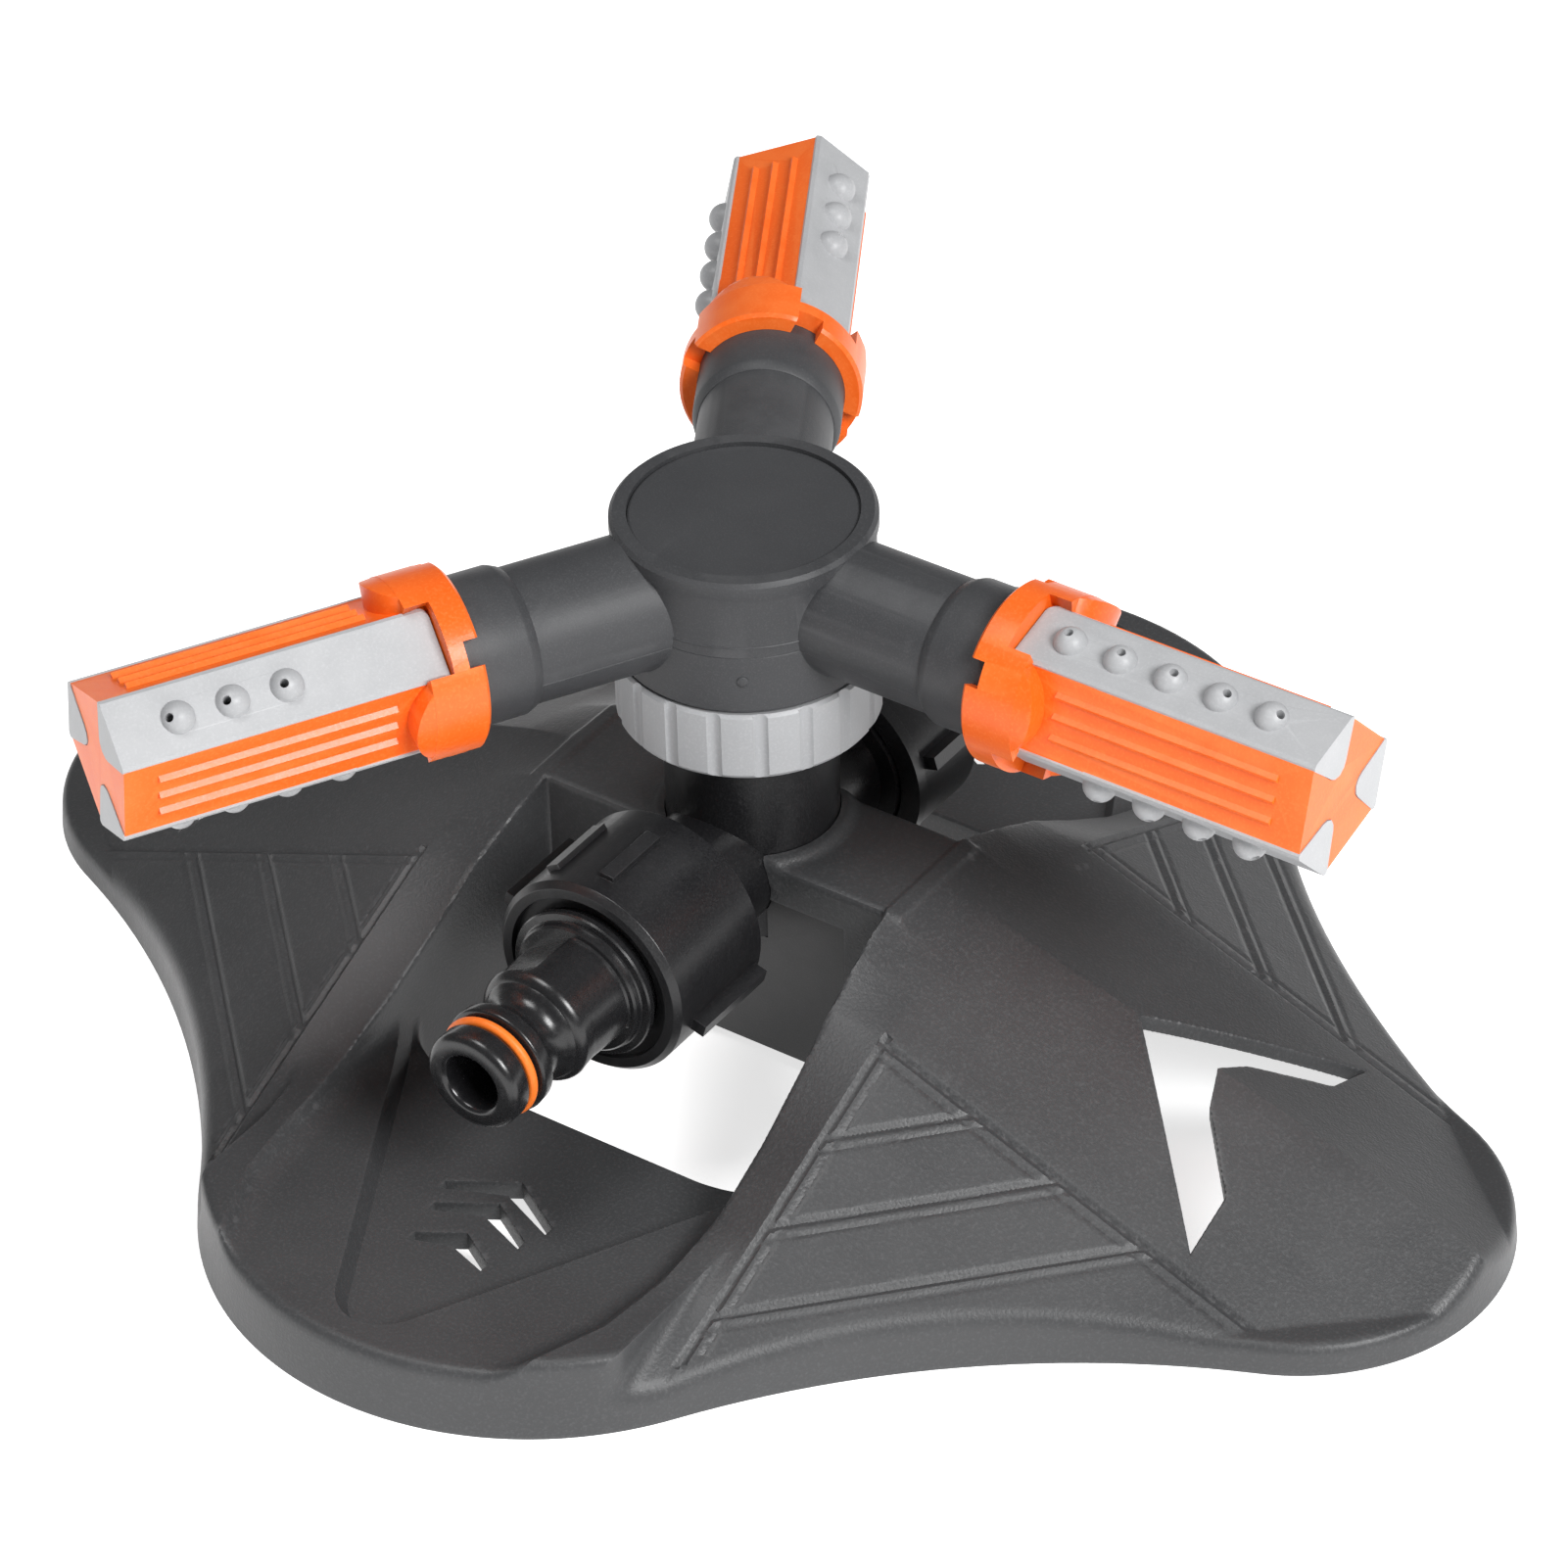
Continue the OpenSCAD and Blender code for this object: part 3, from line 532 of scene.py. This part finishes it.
def make_stand(step):
    """The moulded stand, meshed from its field on a grid of that step in millimetres."""
    hx = np.arange(-step / 2, 128.5, step)
    hy = np.arange(-step / 2, 108.0, step)
    hz = np.arange(-1.5 * step + 0.05, 41.0, step)
    v, q = crease_mesh(stand_field, hx, hy, hz)
    v[:, 2] = np.maximum(v[:, 2], 0.0)
    v[:, 0] = np.where(v[:, 0] < step * 0.5, 0.0, v[:, 0])
    v[:, 1] = np.where(v[:, 1] < step * 0.5, 0.0, v[:, 1])
    parts_v, parts_q, n = [], [], 0
    for sx in (1, -1):
        for sy in (1, -1):
            parts_v.append(v * [sx, sy, 1])
            qq = q + n
            parts_q.append(qq if sx * sy > 0 else qq[:, ::-1])
            n += len(v)
    v = np.concatenate(parts_v) * MM
    q = np.concatenate(parts_q)
    mesh = bpy.data.meshes.new("stand")
    mesh.vertices.add(len(v))
    mesh.vertices.foreach_set("co", v.astype(np.float32).ravel())
    mesh.loops.add(q.size)
    mesh.loops.foreach_set("vertex_index", q.astype(np.int32).ravel())
    mesh.polygons.add(len(q))
    mesh.polygons.foreach_set("loop_start", np.arange(0, q.size, 4, dtype=np.int32))
    mesh.update(calc_edges=True)
    bm = bmesh.new()
    bm.from_mesh(mesh)
    bmesh.ops.remove_doubles(bm, verts=bm.verts, dist=1e-5)
    bmesh.ops.recalc_face_normals(bm, faces=bm.faces)
    for f in bm.faces:
        f.smooth = True
    bm.to_mesh(mesh)
    bm.free()
    mesh.set_sharp_from_angle(angle=math.radians(28))
    obj = bpy.data.objects.new("stand", mesh)
    bpy.context.scene.collection.objects.link(obj)
    dress(obj, "stand_plastic")
    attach(obj, "stand")
    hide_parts("base_shell")


make_stand(0.5)


# ---------------------------------------------------------------- turned pieces
def lathe(name, profile, axis_point, body, slot_name, replaces=(), flats=(), n=96):
    """A turned piece about -Y from (radius, distance) pairs, with flats cut as (angle, depth, from, to)."""
    bm = bmesh.new()
    rings = []
    for r, d in profile:
        ring = []
        for i in range(n):
            t = 2 * math.pi * i / n
            p = [r * math.cos(t), r * math.sin(t)]
            for ang, depth, lo, hi in flats:
                c, w = math.cos(math.radians(ang)), math.sin(math.radians(ang))
                over = p[0] * c + p[1] * w - depth
                if lo <= d <= hi and over > 0:
                    p = [p[0] - over * c, p[1] - over * w]
            ring.append(bm.verts.new((axis_point[0] + p[0] * MM, -d * MM, axis_point[2] + p[1] * MM)))
        rings.append(ring)
    for a, b in zip(rings, rings[1:] + rings[:1]):
        for i in range(n):
            bm.faces.new((a[i], a[(i + 1) % n], b[(i + 1) % n], b[i]))
    bmesh.ops.recalc_face_normals(bm, faces=bm.faces)
    for f in bm.faces:
        f.smooth = True
    mesh = bpy.data.meshes.new(name)
    bm.to_mesh(mesh)
    bm.free()
    mesh.set_sharp_from_angle(angle=math.radians(32))
    obj = bpy.data.objects.new(name, mesh)
    bpy.context.scene.collection.objects.link(obj)
    dress(obj, slot_name)
    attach(obj, body)
    if replaces:
        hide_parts(*replaces)
    return obj


def arc(cx, cy, r, a0, a1, n=8):
    """Points of an arc as (radius, distance) pairs."""
    turns = [math.radians(a0 + (a1 - a0) * i / n) for i in range(n + 1)]
    return [(cx + r * math.cos(t), cy + r * math.sin(t)) for t in turns]


# the nipple in millimetres: collar, barrel, shoulder, waist, flange, O-ring groove, rounded tip and bore
NIPPLE = [(6.2, 34.95), (12.5, 34.95), (12.5, 36.1), (12.2, 36.4), (11.0, 36.5), (11.0, 42.3), (11.8, 42.4)]
NIPPLE += [(12.1, 42.7), (12.1, 43.5), (11.9, 43.8), (10.9, 43.9), (10.7, 44.1), (10.6, 44.9), (10.3, 45.2)]
NIPPLE += [(9.7, 45.3)] + [(9.45 - 0.02 * i, 45.6 + 0.5 * i) for i in range(16)]
NIPPLE += arc(7.4, 54.6, 1.9, 10, 70, 8)
NIPPLE += arc(9.5, 59.4, 3.1, 236, 130, 12)
NIPPLE += arc(7.9, 62.8, 0.6, -60, 0, 3) + arc(8.1, 64.3, 0.5, 0, 80, 3)
NIPPLE += [(6.75, 64.9), (6.7, 67.2), (7.7, 67.2)] + arc(7.6, 67.6, 0.3, -60, 0, 2)
NIPPLE += arc(6.5, 69.6, 1.4, 0, 85, 8) + arc(5.3, 70.2, 0.8, 90, 165, 4)
NIPPLE += [(4.35, 69.4), (4.3, 54.0), (6.2, 53.8)]
WRENCH_FLATS = [(turn, 7.9, 45.3, 53.4) for turn in (125, 305)]
PIPE_AXIS = (0, 0, PIPE_AXIS_Z * MM)
lathe("v_nipple", NIPPLE, PIPE_AXIS, "inlet", "nipple_plastic", ("nipple",), WRENCH_FLATS)

# the mark left by the moulding gate on the hub's skirt: a flattened ball sunk into the wall
GATE_TURN = 33
GATE_R, GATE_Z = 19.3, 74.9
bm = bmesh.new()
bmesh.ops.create_uvsphere(bm, u_segments=24, v_segments=12, radius=0.95 * MM)
gate_mesh = bpy.data.meshes.new("gate_mark")
for v in bm.verts:
    v.co = Vector((v.co.x * 0.9, v.co.y * 0.32, v.co.z))
for f in bm.faces:
    f.smooth = True
turn = Matrix.Rotation(math.radians(GATE_TURN), 4, "Z")
bm.transform(Matrix.Translation(turn @ Vector((0, -GATE_R * MM, GATE_Z * MM))) @ turn)
bm.to_mesh(gate_mesh)
bm.free()
gate = bpy.data.objects.new("gate_mark", gate_mesh)
bpy.context.scene.collection.objects.link(gate)
dress(gate, "hub_plastic")
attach(gate, "rotor")

# the stepped sleeve at the end of each arm, and the moulding line round the hub
SLEEVE = [(10.0, 36.6), (10.28, 36.6), (10.5, 36.8), (11.0, 37.9), (11.13, 38.3), (11.13, 49.0), (10.0, 49.0)]
SEAM_R = 19.17
SEAM = [(SEAM_R - 1, 80.6), (SEAM_R, 80.6), (SEAM_R + 0.1, 80.75), (SEAM_R, 80.9), (SEAM_R - 1, 80.9)]
for letter, axis in ARM_AXIS.items():
    sleeve = lathe("arm_%s_sleeve" % letter, SLEEVE, (0, 0, ARM_Z), "rotor", "hub_plastic")
    to_arm = Vector((0, -1, 0)).rotation_difference(axis).to_matrix().to_4x4()
    lift = Matrix.Translation((0, 0, ARM_Z))
    sleeve.data.transform(lift @ to_arm @ lift.inverted())
seam = lathe("hub_seam", SEAM, (0, 0, 0), "rotor", "hub_plastic")
seam.data.transform(Matrix.Rotation(math.radians(-90), 4, "X"))

# ---------------------------------------------------------------- the other pieces, with edges in millimetres
EDGE = {"lock_ring": 0.25, "hub_lower": 0.25, "hub_upper": 0.35, "hub_disc": 0.1, "inlet_nut": 0.4,
        "end_cap": 0.4, "tee_body": 0.3, "tee_clamp": 0.3}
REMADE = ("base_shell", "nipple")
for node in NODES:
    if node in REMADE:
        continue
    if node in EDGE:
        crisp(node, EDGE[node])
    elif "_strip_" in node:
        crisp(node, 0.28, 25.0, reshape=round_strip_end)
    elif node.startswith("head_") and node.endswith("_body"):
        crisp(node, 0.25, 25.0, reshape=sink_ribbed_faces)
    elif node.endswith("_socket"):
        crisp(node, 0.2)
    else:
        dress(NODES[node], SLOT_OF[node])

# ---------------------------------------------------------------- floor, light, camera
bm = bmesh.new()
bmesh.ops.create_grid(bm, x_segments=1, y_segments=1, size=6.0)
floor_mesh = bpy.data.meshes.new("floor")
bm.to_mesh(floor_mesh)
bm.free()
floor = bpy.data.objects.new("floor", floor_mesh)
bpy.context.scene.collection.objects.link(floor)
fm = bpy.data.materials.new("floor")
fm.use_nodes = True
fb = fm.node_tree.nodes["Principled BSDF"]
fb.inputs["Base Color"].default_value = (0.9, 0.9, 0.9, 1)
fb.inputs["Roughness"].default_value = 0.9
fb.inputs["Specular IOR Level"].default_value = 0.1
fb.inputs["Emission Color"].default_value = (1, 1, 1, 1)
fb.inputs["Emission Strength"].default_value = 0.7
floor.data.materials.append(fm)

world = bpy.data.worlds.new("studio")
world.use_nodes = True
world.node_tree.nodes["Background"].inputs[0].default_value = (1, 1, 1, 1)
world.node_tree.nodes["Background"].inputs[1].default_value = 0.17
bpy.context.scene.world = world


def soft_light(name, pos, size, power):
    """A soft rectangular lamp at pos in metres that shines on the part."""
    d = bpy.data.lights.new(name, "AREA")
    d.shape = "RECTANGLE"
    d.size, d.size_y = size
    d.energy = power
    o = bpy.data.objects.new(name, d)
    o.location = pos
    o.rotation_euler = (Vector(LIT) - Vector(pos)).to_track_quat("-Z", "Y").to_euler()
    bpy.context.scene.collection.objects.link(o)


LIT = (0, 0, 0.03)
soft_light("key", (1.1, -0.35, 0.95), (0.6, 0.5), 22.0)
soft_light("overhead", (-0.22, -0.3, 1.4), (0.5, 0.5), 8.0)

# the camera stands to the right of the front and above, and leans a little to one side
AZ, EL, ROLL = math.radians(35.48), math.radians(36.91), math.radians(-1.67)
CAMERA_AT = (0.48616, -0.67404, 0.66626)
back = Vector((math.sin(AZ) * math.cos(EL), -math.cos(AZ) * math.cos(EL), math.sin(EL)))
side = Vector((math.cos(AZ), math.sin(AZ), 0))
up = back.cross(side)
right = side * math.cos(ROLL) + up * math.sin(ROLL)
top = up * math.cos(ROLL) - side * math.sin(ROLL)
cam_data = bpy.data.cameras.new("camera")
cam_data.sensor_width = 36.0
cam_data.lens = 161.27
cam_data.dof.use_dof = False
cam = bpy.data.objects.new("camera", cam_data)
m = Matrix((right, top, back)).transposed().to_4x4()
m.translation = Vector(CAMERA_AT)
cam.matrix_world = m
bpy.context.scene.collection.objects.link(cam)
bpy.context.scene.camera = cam
bpy.context.scene.view_settings.view_transform = "Standard"
bpy.context.scene.view_settings.look = "None"

bpy.context.view_layer.update()
